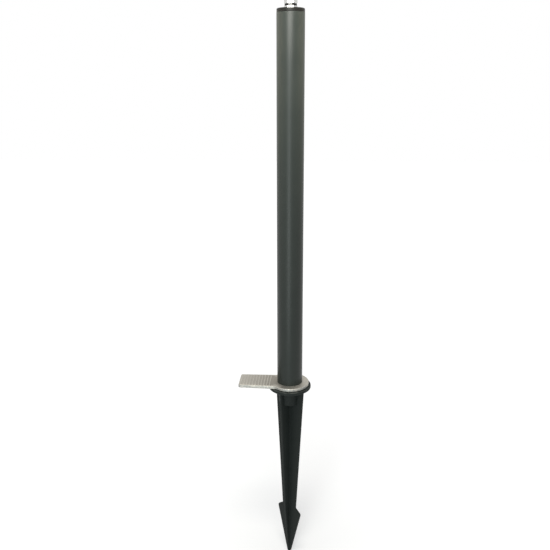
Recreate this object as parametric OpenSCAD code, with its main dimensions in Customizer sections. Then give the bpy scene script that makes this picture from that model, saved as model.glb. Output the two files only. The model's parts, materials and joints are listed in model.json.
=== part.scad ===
// Round garden post on a ground spike, with a foot plate for pushing the spike in.
// The origin is on the post's axis at the ground line, which is the underside of the spike's flange.
// The post stands along +Z and the foot plate's tab points along -X.

/* [Post tube] */
// Outside diameter of the tube
tube_od = 42; // [38:0.5:60]
// Wall of the tube
tube_wall = 2; // [1.5:0.25:3]
// Length of the tube
tube_len = 585; // [300:5:900]

/* [Top cap] */
// Height of the cap's rim above the tube
cap_rim_h = 5.5; // [4:0.5:12]
// Set-back of the rim from the tube's outside
cap_setback = 0.2; // [0.1:0.05:0.5]
// Bevel round the rim's top edge
cap_bevel = 1.5; // [0.5:0.25:2.5]
// Depth of the plug that enters the tube
cap_plug_depth = 18; // [8:1:40]
// Wall of the hollow plug
cap_plug_wall = 2.5; // [1.5:0.25:4]

/* [Tie rod] */
// Thread diameter of the rod
rod_d = 10; // [8:0.5:11]
// Bevel at both ends of the rod
rod_bevel = 1; // [0.5:0.25:1.5]
// Length of rod that stands above the fixture nut
rod_free = 3; // [1.5:0.5:20]

/* [Nuts and washers] */
// Width across the flats of the hexagon nuts
nut_af = 17; // [16:0.5:17]
// Height of the thin clamp nut on the cap
clamp_nut_h = 3.5; // [3:0.5:8]
// Height of the fixture nut and of the lock nut inside the post
full_nut_h = 8; // [6:0.5:10]
// Outside diameter of the flat washers
washer_od = 20; // [19.8:0.1:24]
// Thickness of the flat washers
washer_t = 2; // [1:0.25:3]
// Outside diameter of the split spring washer
spring_washer_od = 18; // [15:0.5:19]
// Thickness of the split spring washer
spring_washer_t = 2.5; // [1.5:0.25:3.5]
// Width of the spring washer's split
spring_washer_split = 1.2; // [0.5:0.1:2]

/* [Foot plate] */
// Thickness of the plate
plate_t = 5; // [3:0.5:8]
// Outside diameter of the ring round the post
ring_od = 64; // [62:1:70]
// Reach of the tab's straight end from the post's axis
tab_reach = 85; // [70:1:120]
// Width of the tab where it joins the ring
tab_root_w = 45; // [30:1:48]
// Width of the tab at its outer end
tab_end_w = 42; // [24:1:44]
// Radius of the tab's outer corners
tab_corner_r = 3; // [2:0.5:8]
// Radius of the blend between tab and ring
tab_blend_r = 3; // [2:1:12]
// Distance between neighbouring tread ribs
rib_pitch = 3.6; // [3:0.2:6]
// Width of a tread rib at its foot
rib_w = 2; // [1:0.1:2.4]
// Height of the tread ribs
rib_h = 0.6; // [0.3:0.1:1.2]
// Bare margin round the field of ribs
rib_margin = 2.5; // [1:0.5:6]

/* [Spike] */
// Diameter of the flange that stops at the ground
flange_d = 71; // [70:1:90]
// Thickness of the flange
flange_t = 5.5; // [4:0.5:10]
// Length of the spike below the flange
spike_len = 327.5; // [280:0.5:450]
// Thickness of the four fins
fin_t = 4.5; // [3:0.5:7]
// Turn of the barbed fins from the tab's line
fin_turn = -39; // [-90:1:90]
// Reach of the barbed fins from the axis under the flange
fin_top_r = 30.5; // [24:0.1:34]
// Reach of the barbed fins from the axis at the neck above the barbs
neck_r = 14.6; // [11:0.1:18]
// Depth of the neck below the flange
neck_depth = 232; // [150:1:245]
// Reach of the barbs from the axis
barb_r = 26; // [19:0.1:28]
// Drop from the neck to the barb's corner
barb_drop = 8; // [2:0.5:15]
// Reach of the plain fins from the axis under the flange
side_fin_top_r = 24.3; // [19.5:0.1:30]
// Reach of the plain fins from the axis at the depth of the neck
side_fin_neck_r = 12; // [7:0.1:14]
// Half width of the blunt tip
tip_r = 3.5; // [2:0.5:5]
// Height of the bevel on the blunt tip
tip_bevel = 2.5; // [1:0.5:4]
// Diameter of the boss under the flange
boss_d = 35; // [32:0.5:35.5]
// Depth of the boss below the flange
boss_len = 28; // [25:0.5:60]
// Diameter of the thicker root of the boss
boss_root_d = 37; // [36:0.5:38]
// Depth of the thicker root of the boss
boss_root_len = 15; // [8:0.5:20]
// Wall of the hollow boss
boss_wall = 3; // [2:0.25:4]
// Bevel round the foot of the boss
boss_bevel = 1.5; // [0.5:0.25:3]

/* [Spigot and insert] */
// Length of the spigot inside the tube
spigot_len = 55; // [30:1:100]
// Wall of the spigot
spigot_wall = 2.7; // [2:0.1:4]
// Diameter of the centre post round the rod and the insert
spigot_core_d = 20; // [18:0.5:22]
// Thickness of the webs between the centre post and the walls
spigot_web = 3; // [2:0.25:4]
// Floor left under the spigot's pockets, above the plate
spigot_floor = 6; // [3:1:12]
// Bevel that leads the spigot and the cap's plug into the tube
lead_bevel = 1.2; // [0.5:0.1:2]
// Outside diameter of the threaded insert
insert_od = 15; // [13.5:0.25:16]
// Length of the threaded insert
insert_len = 18; // [12:1:22]
// Plastic left under the threaded insert
insert_floor = 6; // [3:0.5:8]

/* [Clearances] */
// Radial gap between spigot or plug and the tube's bore
tube_gap = 0.3; // [0.1:0.05:0.5]
// Radial gap between the plate's bore and the spigot
plate_gap = 0.1; // [0.05:0.05:0.3]
// Radial gap between the rod and a threaded bore
thread_gap = 0.1; // [0.05:0.05:0.2]
// Radial gap between the rod and a plain hole
rod_gap = 0.3; // [0.2:0.05:0.5]
// Radial gap between a washer and its pocket
washer_gap = 0.3; // [0.2:0.05:0.5]
// Gap round the threaded insert
insert_gap = 0.05; // [0.05:0.05:0.2]

/* [Hidden] */
$fn = 96;
// Overshoot of a cut past the face it opens
cut = 1;

tube_id = tube_od - 2 * tube_wall;
spigot_d = tube_id - 2 * tube_gap;
rod_hole_d = rod_d + 2 * rod_gap;
thread_hole_d = rod_d + 2 * thread_gap;

// Heights of the pieces, stacked from the ground line up
plate_z = flange_t;
tube_z = plate_z + plate_t;
cap_z = tube_z + tube_len;
cap_top_z = cap_z + cap_rim_h;
clamp_nut_z = cap_top_z;
spring_washer_z = clamp_nut_z + clamp_nut_h;
fixture_nut_z = spring_washer_z + spring_washer_t;
rod_top_z = fixture_nut_z + full_nut_h + rod_free;
spigot_top_z = tube_z + spigot_len;
lock_nut_z = spigot_top_z + washer_t;
insert_z = insert_floor - boss_len;
rod_bottom_z = insert_z + rod_bevel;

// Field of tread ribs, from the tab's outer end to the ring
rib_out = tab_reach - rib_margin - rib_w / 2;
rib_count = floor((rib_out - ring_od / 2) / rib_pitch) + 1;

coat = [0.27, 0.29, 0.28];
black = [0.12, 0.12, 0.12];
steel = [0.66, 0.64, 0.60];
zinc = [0.80, 0.80, 0.78];
brass = [0.72, 0.58, 0.30];

// Cylinder with a bevel on its top edge
module bevel_top(d, h, bevel) {
    cylinder(d = d, h = h - bevel);
    translate([0, 0, h - bevel])
        cylinder(d1 = d, d2 = d - 2 * bevel, h = bevel);
}

// Cylinder with a bevel on its bottom edge
module bevel_bottom(d, h, bevel) {
    translate([0, 0, h])
        mirror([0, 0, 1])
            bevel_top(d, h, bevel);
}

// Hexagon nut with bevelled corners and a plain bore in place of the thread
module hex_nut(h) {
    corner_d = nut_af / cos(30);
    bevel = (corner_d - nut_af) / 2;
    difference() {
        intersection() {
            cylinder(d = corner_d, h = h, $fn = 6);
            bevel_top(corner_d, h, bevel);
            bevel_bottom(corner_d, h, bevel);
        }
        translate([0, 0, -cut])
            cylinder(d = thread_hole_d, h = h + 2 * cut);
    }
}

// Flat round washer
module flat_washer() {
    difference() {
        cylinder(d = washer_od, h = washer_t);
        translate([0, 0, -cut])
            cylinder(d = rod_hole_d, h = washer_t + 2 * cut);
    }
}

module post_tube() {
    color(coat)
        translate([0, 0, tube_z])
            difference() {
                cylinder(d = tube_od, h = tube_len);
                translate([0, 0, -cut])
                    cylinder(d = tube_id, h = tube_len + 2 * cut);
            }
}

// Plastic cap with a rim on the tube, a hollow plug in it and a seat for the washer
module top_cap() {
    rim_d = tube_od - 2 * cap_setback;
    color(black)
        difference() {
            union() {
                translate([0, 0, cap_z])
                    bevel_top(rim_d, cap_rim_h, cap_bevel);
                translate([0, 0, cap_z - cap_plug_depth])
                    bevel_bottom(spigot_d, cap_plug_depth, lead_bevel);
            }
            translate([0, 0, cap_z - cap_plug_depth - cut])
                cylinder(d = spigot_d - 2 * cap_plug_wall, h = cap_plug_depth + cut);
            translate([0, 0, cap_z - cut])
                cylinder(d = rod_hole_d, h = cap_rim_h + 2 * cut);
            translate([0, 0, cap_top_z - washer_t])
                cylinder(d = washer_od + 2 * washer_gap, h = washer_t + cut);
        }
}

// Threaded rod from the spike's insert to the stud above the cap
module tie_rod() {
    color(zinc)
        translate([0, 0, rod_bottom_z]) {
            middle = (rod_top_z - rod_bottom_z) / 2;
            bevel_bottom(rod_d, middle, rod_bevel);
            translate([0, 0, middle])
                bevel_top(rod_d, middle, rod_bevel);
        }
}

module cap_washer() {
    color(zinc)
        translate([0, 0, cap_top_z - washer_t])
            flat_washer();
}

module clamp_nut() {
    color(zinc)
        translate([0, 0, clamp_nut_z])
            hex_nut(clamp_nut_h);
}

// Split ring, drawn flat as it is when the nut is tight
module spring_washer() {
    color(zinc)
        translate([0, 0, spring_washer_z])
            difference() {
                cylinder(d = spring_washer_od, h = spring_washer_t);
                translate([0, 0, -cut])
                    cylinder(d = rod_hole_d, h = spring_washer_t + 2 * cut);
                translate([0, -spring_washer_split / 2, -cut])
                    cube([spring_washer_od, spring_washer_split, spring_washer_t + 2 * cut]);
            }
}

module fixture_nut() {
    color(zinc)
        translate([0, 0, fixture_nut_z])
            hex_nut(full_nut_h);
}

// Outline of the tab: straight beside the ring, then narrowing to a straight end with round corners
module tab_outline() {
    root_x = ring_od / 2;
    offset(r = tab_corner_r)
        offset(delta = -tab_corner_r)
            polygon([
                [0, -tab_root_w / 2],
                [-root_x, -tab_root_w / 2],
                [-tab_reach, -tab_end_w / 2],
                [-tab_reach, tab_end_w / 2],
                [-root_x, tab_root_w / 2],
                [0, tab_root_w / 2]
            ]);
}

// Blend on one side between the tab's straight edge and the round ring
module tab_blend() {
    ring_r = ring_od / 2;
    blend_y = tab_root_w / 2 + tab_blend_r;
    blend_x = -sqrt(pow(ring_r + tab_blend_r, 2) - pow(blend_y, 2));
    touch = ring_r / (ring_r + tab_blend_r);
    difference() {
        polygon([
            [max(blend_x, -ring_r), tab_root_w / 2],
            [blend_x * touch, blend_y * touch],
            [blend_x * touch, 0],
            [max(blend_x, -ring_r), 0]
        ]);
        translate([blend_x, blend_y])
            circle(r = tab_blend_r);
    }
}

// One tread rib, a ridge with sloping sides across the tab
module tread_rib(length) {
    rotate([90, 0, 0])
        linear_extrude(height = length, center = true)
            polygon([
                [-rib_w / 2, 0],
                [rib_w / 2, 0],
                [rib_w / 4, rib_h],
                [-rib_w / 4, rib_h]
            ]);
}

// Keyhole-shaped plate: a ring clamped between tube and flange, and a ribbed tab for the foot
module foot_plate() {
    rib_len = tab_end_w - 2 * rib_margin;
    color(steel)
        translate([0, 0, plate_z])
            difference() {
                union() {
                    cylinder(d = ring_od, h = plate_t);
                    linear_extrude(height = plate_t)
                        tab_outline();
                    for (side = [0, 1])
                        mirror([0, side, 0])
                            linear_extrude(height = plate_t)
                                tab_blend();
                    for (i = [0 : rib_count - 1])
                        translate([i * rib_pitch - rib_out, 0, plate_t])
                            tread_rib(rib_len);
                }
                translate([0, 0, -cut])
                    cylinder(d = spigot_d + 2 * plate_gap, h = plate_t + 2 * cut);
            }
}

// Pair of opposite fins from an outline of half widths and depths down to the tip
module fin_pair(half_outline) {
    other_half = [for (i = [len(half_outline) - 1 : -1 : 0]) [-half_outline[i][0], half_outline[i][1]]];
    rotate([90, 0, 0])
        linear_extrude(height = fin_t, center = true)
            polygon(concat(half_outline, other_half));
}

// Hollow of the boss and the wider one of the spigot, round the centre post and its four webs
module hub_pockets() {
    pocket_z = tube_z + spigot_floor;
    difference() {
        union() {
            translate([0, 0, insert_z])
                cylinder(d = boss_d - 2 * boss_wall, h = spigot_top_z - insert_z + cut);
            translate([0, 0, pocket_z])
                cylinder(d = spigot_d - 2 * spigot_wall, h = spigot_top_z - pocket_z + cut);
        }
        translate([0, 0, insert_z - cut])
            cylinder(d = spigot_core_d, h = spigot_top_z - insert_z + 3 * cut);
        for (turn = [0, 90])
            rotate([0, 0, fin_turn + turn])
                translate([-spigot_d / 2, -spigot_web / 2, insert_z - cut])
                    cube([spigot_d, spigot_web, spigot_top_z - insert_z + 3 * cut]);
    }
}

// Hub of the spike: the boss with its thicker root, the flange, and the spigot for plate and tube
module hub() {
    difference() {
        union() {
            translate([0, 0, -boss_len])
                bevel_bottom(boss_d, boss_len, boss_bevel);
            translate([0, 0, -boss_root_len])
                cylinder(d = boss_root_d, h = boss_root_len);
            cylinder(d = flange_d, h = flange_t);
            translate([0, 0, plate_z])
                bevel_top(spigot_d, plate_t + spigot_len, lead_bevel);
        }
        hub_pockets();
    }
}

// Moulded spike: a hub and crossed fins, a wide pair with barbs and a narrow plain pair
module spike_body() {
    tip = [
        [tip_r, tip_bevel - spike_len],
        [tip_r / 2, -spike_len]
    ];
    barbed = [
        [fin_top_r, 0],
        [neck_r, -neck_depth],
        [barb_r, -neck_depth - barb_drop]
    ];
    plain = [
        [side_fin_top_r, 0],
        [side_fin_neck_r, -neck_depth]
    ];
    color(black)
        difference() {
            union() {
                hub();
                rotate([0, 0, fin_turn])
                    fin_pair(concat(barbed, tip));
                rotate([0, 0, fin_turn + 90])
                    fin_pair(concat(plain, tip));
            }
            translate([0, 0, insert_z])
                cylinder(d = rod_hole_d, h = spigot_top_z - insert_z + cut);
            translate([0, 0, insert_z])
                cylinder(d = insert_od + 2 * insert_gap, h = insert_len);
        }
}

// Brass insert moulded into the boss, which the rod screws into
module thread_insert() {
    color(brass)
        translate([0, 0, insert_z])
            difference() {
                cylinder(d = insert_od, h = insert_len);
                translate([0, 0, -cut])
                    cylinder(d = thread_hole_d, h = insert_len + 2 * cut);
            }
}

module lock_washer() {
    color(zinc)
        translate([0, 0, spigot_top_z])
            flat_washer();
}

// Nut on top of the spigot that locks the rod in the insert
module lock_nut() {
    color(zinc)
        translate([0, 0, lock_nut_z])
            hex_nut(full_nut_h);
}

post_tube();
top_cap();
tie_rod();
cap_washer();
clamp_nut();
spring_washer();
fixture_nut();
foot_plate();
spike_body();
thread_insert();
lock_washer();
lock_nut();
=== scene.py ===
# %% [markdown]
# # A garden post on a ground spike
# The real object is a coated steel tube that stands on a moulded spike. A steel foot plate lies between
# the two, and a stud with nuts stands on the capped top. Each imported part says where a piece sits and
# how far it reaches, so every surface below starts from that part's box, and the sizes within it, such as
# walls and bores, repeat the part's own. Lengths are in metres, and MM turns millimetres into metres.

# %% Load the frame
import json
import math

import bmesh
import bpy
import numpy as np
from mathutils import Euler, Matrix, Vector

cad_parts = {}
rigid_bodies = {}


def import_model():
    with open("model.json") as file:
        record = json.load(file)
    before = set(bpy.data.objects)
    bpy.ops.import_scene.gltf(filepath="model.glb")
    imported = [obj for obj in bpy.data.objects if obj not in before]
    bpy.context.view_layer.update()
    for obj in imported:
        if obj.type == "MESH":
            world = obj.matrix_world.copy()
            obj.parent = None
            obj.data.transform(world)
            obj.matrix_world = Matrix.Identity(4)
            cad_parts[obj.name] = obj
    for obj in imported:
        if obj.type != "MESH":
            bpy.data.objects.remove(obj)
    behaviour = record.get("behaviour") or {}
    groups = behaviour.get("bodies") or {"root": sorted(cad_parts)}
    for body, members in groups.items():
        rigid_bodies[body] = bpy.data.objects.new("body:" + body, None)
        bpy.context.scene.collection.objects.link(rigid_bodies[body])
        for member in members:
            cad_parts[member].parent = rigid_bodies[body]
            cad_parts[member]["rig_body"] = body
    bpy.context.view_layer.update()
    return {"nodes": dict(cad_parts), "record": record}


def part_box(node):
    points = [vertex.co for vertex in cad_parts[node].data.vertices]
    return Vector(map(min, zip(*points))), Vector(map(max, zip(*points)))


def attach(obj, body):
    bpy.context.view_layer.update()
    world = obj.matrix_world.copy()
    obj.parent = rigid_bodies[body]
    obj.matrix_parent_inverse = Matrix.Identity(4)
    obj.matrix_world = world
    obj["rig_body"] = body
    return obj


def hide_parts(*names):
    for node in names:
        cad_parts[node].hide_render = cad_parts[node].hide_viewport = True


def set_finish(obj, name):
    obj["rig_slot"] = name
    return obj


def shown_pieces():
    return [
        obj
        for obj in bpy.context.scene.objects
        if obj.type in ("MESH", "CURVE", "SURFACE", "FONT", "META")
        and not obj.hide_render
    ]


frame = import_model()
MM = 0.001
TURN = 2 * math.pi
slot_of = {part["node"]: part["material_slot"] for part in frame["record"]["subparts"]}

# %% [markdown]
# ## From a grid of points to a mesh
# A turned, swept or lofted piece is one grid of points: neighbours in the grid are neighbours on the
# surface. Blender's primitives would need moving and joining by hand, so numpy works out the whole grid
# and one helper makes the faces. Points that share a place are merged afterwards, so poles and seams close.

# %% Grid to mesh
SHARP_ANGLE = math.radians(35)
MERGE_GAP = 0.001 * MM


def grid_faces(rows, columns, wrap_rows, wrap_columns):
    """Corner numbers of the faces: (i, j), (i+1, j), (i+1, j+1) and (i, j+1), where a wrapped
    direction goes on from its last line to its first."""
    index = np.arange(rows * columns).reshape(rows, columns)
    if wrap_rows:
        index = np.vstack([index, index[:1]])
    if wrap_columns:
        index = np.hstack([index, index[:, :1]])
    corners = [index[:-1, :-1], index[1:, :-1], index[1:, 1:], index[:-1, 1:]]
    return np.stack(corners, -1).reshape(-1, 4)


def close_seams(mesh):
    """Merges points that share a place, turns the faces outwards and shades all but sharp edges smooth."""
    work = bmesh.new()
    work.from_mesh(mesh)
    bmesh.ops.remove_doubles(work, verts=work.verts, dist=MERGE_GAP)
    bmesh.ops.recalc_face_normals(work, faces=work.faces)
    work.to_mesh(mesh)
    work.free()
    mesh.shade_smooth()
    mesh.set_sharp_from_angle(angle=SHARP_ANGLE)


# %% [markdown]
# ## From a mesh to a piece
# A mesh becomes a piece when it is linked to the scene and stands for one imported part: it then moves with
# that part's body and hides it. Most pieces are single grids, so one helper takes the grid all the way.
# The "edge" attribute is above zero on the arrises, where the finishes further down show wear; on the plate
# that tone paints shade, and on the spike's flange it paints a highlight. It is below zero in the hollows,
# where the finishes paint shade.

# %% Make a piece


def make_piece(name, points, edge=0.0, wrap_rows=True, wrap_columns=True, lids=False):
    """Mesh object of a grid of points; lids close the first and the last row with one face each."""
    rows, columns = points.shape[:2]
    faces = grid_faces(rows, columns, wrap_rows, wrap_columns).tolist()
    if lids:
        first = np.arange(columns)
        faces += [first.tolist(), (first + (rows - 1) * columns).tolist()]
    mesh = bpy.data.meshes.new(name)
    mesh.from_pydata(points.reshape(-1, 3).tolist(), [], faces)
    marks = mesh.attributes.new("edge", "FLOAT", "POINT")
    marks.data.foreach_set("value", np.broadcast_to(edge, (rows, columns)).astype(np.float32).ravel())
    close_seams(mesh)
    piece = bpy.data.objects.new(name, mesh)
    bpy.context.scene.collection.objects.link(piece)
    print(f"{name}: {len(mesh.vertices)} points, {len(mesh.polygons)} faces")
    return piece


def stand_for(piece, node):
    """The piece rides on the node's body, hides the node and takes over its material slot."""
    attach(piece, frame["nodes"][node]["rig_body"])
    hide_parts(node)
    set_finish(piece, slot_of[node])


# %% [markdown]
# ## Soft corners
# No real edge is perfectly sharp: rolled tube, moulded plastic and turned nuts all have a small radius
# that catches the light. A Bevel modifier could add it later, but most pieces here are turned or lofted
# from a few corners, so it is easier to round the corners of the outline before it is carried round.

# %% Round the corners of an outline
LARGEST_CUT = 0.45
SHORTEST_SIDE = 1e-9


def soften(corners, radius, steps=5):
    """Rounds the corners of closed outlines and marks their arrises.

    With A and B the points that lie a radius from the corner P along its two sides, the corner becomes
    the curve (1-t)^2 A + 2t(1-t) P + t^2 B, for t from 0 to 1. No cut takes more than the share LARGEST_CUT
    of a side. The second array is 1 in the middle of an outward corner and -1 in that of an inward one,
    and goes to 0 at the ends of its curve.
    """
    corners = np.asarray(corners, float)
    sides = [np.roll(corners, step, -2) - corners for step in (1, -1)]
    lengths = [np.maximum(np.linalg.norm(side, axis=-1, keepdims=True), SHORTEST_SIDE) for side in sides]
    radius = np.broadcast_to(radius, corners.shape[:-1])[..., None]
    cuts = [np.minimum(radius / length, LARGEST_CUT) for length in lengths]
    start, end = [corners + side * cut for side, cut in zip(sides, cuts)]
    t = np.linspace(0, 1, steps)[:, None]
    curve = (1 - t) ** 2 * start[..., None, :] + t**2 * end[..., None, :]
    curve += 2 * t * (1 - t) * corners[..., None, :]
    back, ahead = sides
    bend = ahead[..., 0] * back[..., 1] - ahead[..., 1] * back[..., 0]
    following = corners + ahead
    area = corners[..., 0] * following[..., 1] - following[..., 0] * corners[..., 1]
    edge = np.sign(bend * area.sum(-1, keepdims=True))[..., None] * np.sin(np.pi * t[:, 0])
    return curve.reshape(*corners.shape[:-2], -1, 2), edge.reshape(*corners.shape[:-2], -1)


def soften_rows(rows, steps=5):
    """The same for an outline given as rows, where each corner has its own radius after its two places."""
    rows = np.array(rows)
    return soften(rows[:, :2], rows[:, 2], steps)


# %% [markdown]
# ## Turned pieces
# Tube, cap and washers are round, as if turned on a lathe. A profile of radius and height goes once
# round the post's axis. Where a profile changes with the angle, as on a hexagon nut, there is one
# profile for each angle, and the same function carries them.

# %% Carry profiles round the axis


def full_turn(steps):
    """Angles of one whole turn, without the one that comes back to the start."""
    return np.linspace(0, TURN, steps, endpoint=False)


def spin(profiles, angles):
    """The profile point (r, z) at angle a becomes (r cos a, r sin a, z)."""
    radius, height = profiles[..., 0], profiles[..., 1]
    angles = np.reshape(angles, (len(angles), -1))
    return np.stack([radius * np.cos(angles), radius * np.sin(angles), height], -1)


def lathe(profile, edge, steps=144):
    """The same profile at every angle, and its arris marks beside it."""
    return spin(np.broadcast_to(profile, (steps, *profile.shape)), full_turn(steps)), edge


def band(inner, outer, bottom, top):
    """Corners of a rectangular profile."""
    return [(outer, bottom), (outer, top), (inner, top), (inner, bottom)]


# %% [markdown]
# ## The tube
# A welded steel tube, cut square and powder coated. The coat flows over the cut ends and leaves a small
# round edge, which draws the thin dark joint under the cap. A cylinder with a Solidify modifier would do,
# but four softened corners on the lathe give the wall, the ends and that edge at once.

# %% Tube
TUBE_WALL = 2 * MM
TUBE_ARRIS = 0.5 * MM
tube_low, tube_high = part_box("post_tube")
tube_r = tube_high.x
tube_wall = band(tube_r - TUBE_WALL, tube_r, tube_low.z, tube_high.z)
stand_for(make_piece("coated_tube", *lathe(*soften(tube_wall, TUBE_ARRIS))), "post_tube")

# %% [markdown]
# ## The cap
# A moulded cap closes the tube: a rim on its end, a hollow plug inside it and a seat for a washer. It could
# be joined and cut from cylinders, but one closed profile holds all of that. The rim's upper edge gets
# the largest radius because it shows.

# %% Cap
CAP_PLUG_R = 18.7 * MM
CAP_PLUG_WALL = 2.5 * MM
ROD_HOLE_R = 5.3 * MM
WASHER_GAP = 0.3 * MM
cap_low, cap_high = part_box("top_cap")
seat_low, seat_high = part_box("cap_washer")
cap_base = tube_high.z
# Radius, height and corner radius, corner by corner.
cap_corners = [
    (cap_high.x, cap_base, 0.6 * MM),
    (cap_high.x, cap_high.z, 1.8 * MM),
    (seat_high.x + WASHER_GAP, cap_high.z, 0.3 * MM),
    (seat_high.x + WASHER_GAP, seat_low.z, 0.2 * MM),
    (ROD_HOLE_R, seat_low.z, 0.2 * MM),
    (ROD_HOLE_R, cap_base, 0.3 * MM),
    (CAP_PLUG_R - CAP_PLUG_WALL, cap_base, 0.6 * MM),
    (CAP_PLUG_R - CAP_PLUG_WALL, cap_low.z, 0.4 * MM),
    (CAP_PLUG_R, cap_low.z, 1.2 * MM),
    (CAP_PLUG_R, cap_base, 0.2 * MM),
]
stand_for(make_piece("cap_moulding", *lathe(*soften_rows(cap_corners))), "top_cap")

# %% [markdown]
# ## Flat washers
# One washer lies in the cap's seat and one on the spigot inside the tube. They are stamped from sheet,
# so a loop turns the same small rectangle twice.

# %% Flat washers
WASHER_ARRIS = 0.25 * MM
WASHER_STEPS = 96
for name, node in (("seat_washer", "cap_washer"), ("inner_washer", "lock_washer")):
    low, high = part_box(node)
    ring = soften(band(ROD_HOLE_R, high.x, low.z, high.z), WASHER_ARRIS)
    stand_for(make_piece(name, *lathe(*ring, steps=WASHER_STEPS)), node)

# %% [markdown]
# ## Hexagon nuts
# A nut is cut from hexagon bar and turned at both ends, so its faces end in curved lines. Cutting a prism
# with two cones would show them too, but they come by themselves when each angle has its own profile: the
# wall stands at the hexagon's radius there, and the cone starts from the same circle at every angle.

# %% Hexagon nuts
NUT_STEPS = 144
NUT_SLOPE = math.tan(math.radians(30))
NUT_CORNER = 0.12 * MM
NUT_FACE_INSET = 0.25 * MM
NUT_ARRIS = 0.15 * MM
NUT_BORE_R = 5.1 * MM
NUT_MOUTH = 0.6 * MM


def hexagon_nut(node):
    """The hexagon's radius at angle a is its half width over cos(a mod 60 - 30 degrees). The cone drops
    from the face's circle by the slope times what the hexagon reaches past that circle."""
    low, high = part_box(node)
    angles = full_turn(NUT_STEPS)
    half_width = high.x * math.cos(TURN / 12)
    hexagon = np.minimum(half_width / np.cos(angles % (TURN / 6) - TURN / 12), high.x - NUT_CORNER)
    face = half_width - NUT_FACE_INSET
    drop = (hexagon - face) * NUT_SLOPE
    mouth = NUT_BORE_R + NUT_MOUTH
    radii = [face, hexagon, hexagon, face, mouth, NUT_BORE_R, NUT_BORE_R, mouth]
    heights = [high.z, high.z - drop, low.z + drop, low.z]
    heights += [low.z, low.z + NUT_MOUTH, high.z - NUT_MOUTH, high.z]
    corners = [np.stack(np.broadcast_arrays(r, z + 0 * angles), -1) for r, z in zip(radii, heights)]
    profiles, edge = soften(np.stack(corners, -2), NUT_ARRIS)
    return spin(profiles, angles), edge


for name, node in (("thin_nut", "clamp_nut"), ("upper_nut", "fixture_nut"), ("inner_nut", "lock_nut")):
    stand_for(make_piece(name, *hexagon_nut(node)), node)

# %% [markdown]
# ## Spring washer
# A split ring of square wire sits under the upper nut. It is drawn flat, as it lies when the nut is
# tight. A torus has neither corners nor a cut, so the wire's own profile is carried round. The cut is
# slanted, so the angle of every point leans with its height.

# %% Spring washer
SPLIT_GAP = 1.2 * MM
SPLIT_LEAN = 0.16
SPLIT_ARRIS = 0.35 * MM
SPLIT_STEPS = 97
low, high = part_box("spring_washer")
wire, wire_edge = soften(band(ROD_HOLE_R, -low.x, low.z, high.z), SPLIT_ARRIS)
half_gap = SPLIT_GAP / (ROD_HOLE_R - low.x)
split_angles = np.linspace(half_gap, TURN - half_gap, SPLIT_STEPS)
lean = SPLIT_LEAN * (wire[:, 1] - (low.z + high.z) / 2) / (high.z - low.z)
split_ring = spin(np.broadcast_to(wire, (SPLIT_STEPS, *wire.shape)), split_angles[:, None] + lean)
split_washer = make_piece("split_washer", split_ring, wire_edge, wrap_rows=False, lids=True)
stand_for(split_washer, "spring_washer")

# %% [markdown]
# ## Where the rod is threaded
# The rod's upper end is the stud that carries the nuts, and its foot screws into the spike. A rod like
# this is threaded only where it needs to be, so there are three stretches, each with some spare thread:
# the foot, the place of the inner nut and the stud. Their ends come from the pieces they hold.

# %% Threaded stretches
THREAD_SPARE = 6 * MM
THREAD_LONG_SPARE = 8 * MM
rod_low, rod_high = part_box("tie_rod")
insert_low, insert_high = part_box("thread_insert")
nut_low, nut_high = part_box("lock_nut")
threads = [
    (rod_low.z, insert_high.z + THREAD_SPARE),
    (nut_low.z - THREAD_SPARE, nut_high.z + THREAD_LONG_SPARE),
    (seat_low.z - THREAD_LONG_SPARE, rod_high.z),
]
print("threaded lengths in mm:", [round((end - start) / MM, 1) for start, end in threads])

# %% [markdown]
# ## The threaded rod
# A thread is a shallow ridge that climbs one pitch a turn. A helix could be swept and fused with the rod,
# but here the radius depends on height and angle together, and one grid gives thread and plain shank.

# %% Rod
PITCH = 1.5 * MM
THREAD_DEPTH = 0.9 * MM
THREAD_RUNOUT = 2 * MM
THREAD_ROWS = 8
GROOVE_STEEPNESS = 1.25
CREST_FLAT = 0.12
CREST_MARK = 0.5
ROD_BEVEL = 1 * MM
ROD_STEPS = 48


def threaded_rod():
    """At height z and angle a, the thread's phase is z / pitch - a / turn, less whole numbers. The
    groove's depth is the phase's distance from one half, doubled, made steeper and cut to 0 to 1, which
    leaves a flat crest and root. It fades out over the run-out at the inner ends of a threaded stretch,
    and the bevels at the rod's ends cut through it."""
    stretches = [np.arange(start, end, PITCH / THREAD_ROWS) for start, end in threads]
    z = np.concatenate([[rod_low.z], *stretches, [rod_high.z - ROD_BEVEL, rod_high.z, rod_high.z]])
    z = np.concatenate([[rod_low.z], np.sort(z)])
    angles = full_turn(ROD_STEPS)
    phase = (z[None, :] / PITCH - angles[:, None] / TURN) % 1
    groove = np.clip(GROOVE_STEEPNESS * np.abs(2 * phase - 1) - CREST_FLAT, 0, 1)
    inside = [np.clip(np.minimum(z - start, end - z) / THREAD_RUNOUT, 0, 1) for start, end in threads]
    at_ends = (z > threads[2][0] + THREAD_RUNOUT) | (z < threads[0][1] - THREAD_RUNOUT)
    depth = THREAD_DEPTH * groove * np.where(at_ends, 1, np.max(inside, axis=0))
    bevel = rod_high.x - ROD_BEVEL + np.minimum(z - rod_low.z, rod_high.z - z)
    radius = np.minimum(rod_high.x - depth, bevel)
    radius[:, [0, -1]] = 0
    return spin(np.stack([radius, np.broadcast_to(z, radius.shape)], -1), angles), 1 - groove


rod_points, rod_crest = threaded_rod()
rod = make_piece("threaded_rod", rod_points, CREST_MARK * rod_crest, wrap_columns=False)
stand_for(rod, "tie_rod")

# %% [markdown]
# ## The brass insert
# The rod screws into a brass insert that is moulded into the spike's boss. Its outside is knurled so that
# the plastic holds it. Cutting every groove would be slow, and a bump would leave the rim smooth, so the
# radius itself changes: two sets of slanted grooves that cross are a product of two waves.

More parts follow.
